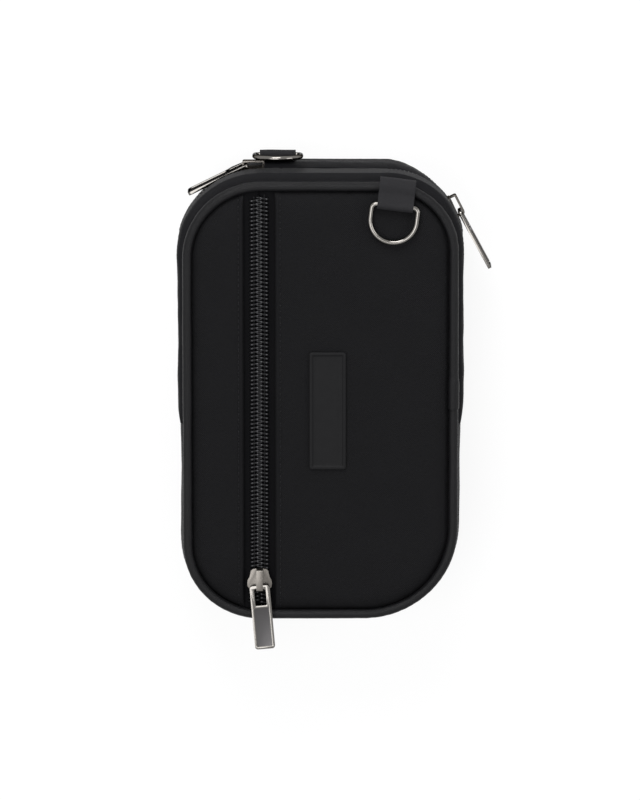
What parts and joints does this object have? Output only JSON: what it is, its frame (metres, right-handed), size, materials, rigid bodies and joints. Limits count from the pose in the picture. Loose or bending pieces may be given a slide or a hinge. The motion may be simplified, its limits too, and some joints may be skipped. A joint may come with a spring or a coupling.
{
  "type": "insulated zip case",
  "caption": "Padded insulated zip case for insulin pens, with a full-height front pocket zip, a main zip round its upper half, D-rings on fabric tabs and gel packs inside.",
  "frame": {"origin": "centre of the back panel's flat face, on which the case lies", "axes": "+X to the right and +Y to the top as seen from the front, +Z out of the front panel"},
  "size_m": [0.1398, 0.2217, 0.0545],
  "materials": {
    "cloth": "fine woven oxford cloth, black",
    "piping": "satin bias cord, black",
    "zip_tape": "woven tape with nylon coil, black",
    "nickel": "polished nickel plate",
    "patch_rubber": "moulded matt rubber, black",
    "foil": "aluminium foil face on foam",
    "gel": "gel in a clear blue film",
    "elastic": "woven elastic, black"
  },
  "bodies": {
    "case": {"back_panel": "cloth", "back_piping": "piping", "front_piping": "piping", "lower_gusset": "cloth", "gusset_strip_back": "cloth", "main_zip_back": "zip_tape", "front_panel_left_lower": "cloth", "front_panel_right_lower": "cloth", "pocket_zip_left": "zip_tape", "pocket_zip_right": "zip_tape", "pocket_lining": "cloth", "front_liner_lower": "foil", "back_liner_floor": "foil", "back_liner_wall": "foil", "lower_liner_wall": "foil", "ice_pack_upper": "gel", "ice_pack_lower": "gel", "pack_cover": "foil", "pen_band_lower": "elastic", "back_tab": "cloth"},
    "front_flap": {"front_panel_left_upper": "cloth", "front_panel_right_upper": "cloth", "gusset_strip_front": "cloth", "main_zip_front": "zip_tape", "front_liner_upper": "foil", "pen_band_upper": "elastic", "front_tab": "cloth", "label_patch": "patch_rubber"},
    "pocket_slider_body": {"pocket_slider": "nickel"},
    "pocket_pull_body": {"pocket_pull": "nickel"},
    "left_slider_body": {"left_slider": "nickel"},
    "left_pull_body": {"left_pull": "nickel"},
    "right_slider_body": {"right_slider": "nickel"},
    "right_pull_body": {"right_pull": "nickel"},
    "front_ring_body": {"front_ring": "nickel"},
    "back_ring_body": {"back_ring": "nickel"}
  },
  "joints": [
    {"name": "flap_fold", "type": "hinge", "parent": "case", "child": "front_flap", "pos_m": [0, -0.012, 0.0506], "axis": [-1, 0, 0], "range_deg": [-75, 0], "deforming": ["front_piping", "pocket_zip_left", "pocket_zip_right", "pocket_lining", "label_patch", "main_zip_front"]},
    {"name": "pocket_zip_slide", "type": "slide", "parent": "case", "child": "pocket_slider_body", "axis": [0, 1, 0], "range_m": [0, 0.165]},
    {"name": "pocket_pull_swing", "type": "hinge", "parent": "pocket_slider_body", "child": "pocket_pull_body", "pos_m": [-0.0272, -0.0849, 0.052], "axis": [-0.9962, -0.0872, 0], "range_deg": [0, 150]},
    {"name": "left_zip_slide", "type": "slide", "parent": "case", "child": "left_slider_body", "axis": [1, 0, 0], "range_m": [0, 0.044], "deforming": ["main_zip_back"]},
    {"name": "left_pull_swing", "type": "hinge", "parent": "left_slider_body", "child": "left_pull_body", "pos_m": [-0.0329, 0.1026, 0.025], "axis": [0, 0, -1], "range_deg": [0, 80]},
    {"name": "right_zip_slide", "type": "hinge", "parent": "case", "child": "right_slider_body", "pos_m": [0.0305, 0.069, 0.025], "axis": [0, 0, 1], "range_deg": [-20, 55]},
    {"name": "right_pull_swing", "type": "hinge", "parent": "right_slider_body", "child": "right_pull_body", "pos_m": [0.06195, 0.08122, 0.025], "axis": [0, 0, 1], "range_deg": [0, 80]},
    {"name": "front_ring_swing", "type": "hinge", "parent": "front_flap", "child": "front_ring_body", "pos_m": [0.03307, 0.08994, 0.05225], "axis": [-0.9925, 0.1219, 0], "range_deg": [0, 160]},
    {"name": "back_ring_swing", "type": "hinge", "parent": "case", "child": "back_ring_body", "pos_m": [-0.019, 0.10475, 0.0155], "axis": [-1, 0, 0], "range_deg": [0, 135]}
  ]
}
